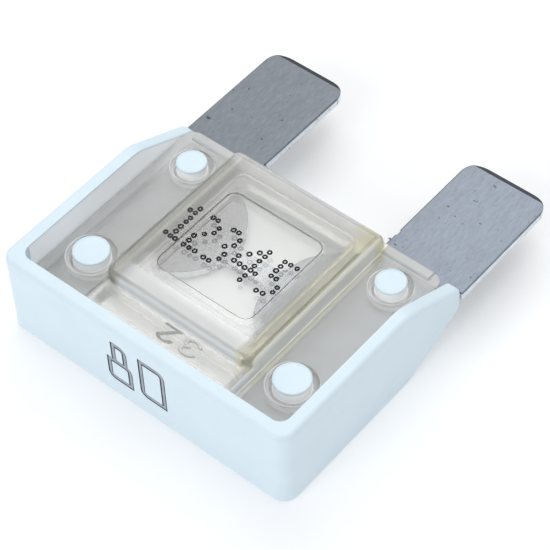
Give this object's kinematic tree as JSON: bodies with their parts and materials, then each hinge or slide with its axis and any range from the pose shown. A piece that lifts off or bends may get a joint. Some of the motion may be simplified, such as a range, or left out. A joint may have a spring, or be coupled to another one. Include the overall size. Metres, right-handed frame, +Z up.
{
  "type": "automotive blade fuse",
  "caption": "Large plug-in blade fuse: white moulded housing, clear cover staked over the fusible link, and flat grey terminal blades side by side.",
  "frame": {"origin": "middle of the fuse's outline in X and Y, on the plane that the rims of the housing rest on", "axes": "+Z up through the clear cover, +Y along the blades towards their tips, +X across the width"},
  "size_m": [0.0292, 0.0342, 0.0085],
  "materials": {
    "housing": "satin moulded nylon",
    "clear_cover": "clear moulded plastic, faintly yellow at its edges",
    "fuse_element": "dull grey plated stamping with fine scratches"
  },
  "bodies": {
    "root": {"housing": "housing", "clear_cover": "clear_cover", "fuse_element": "fuse_element"}
  },
  "joints": []
}
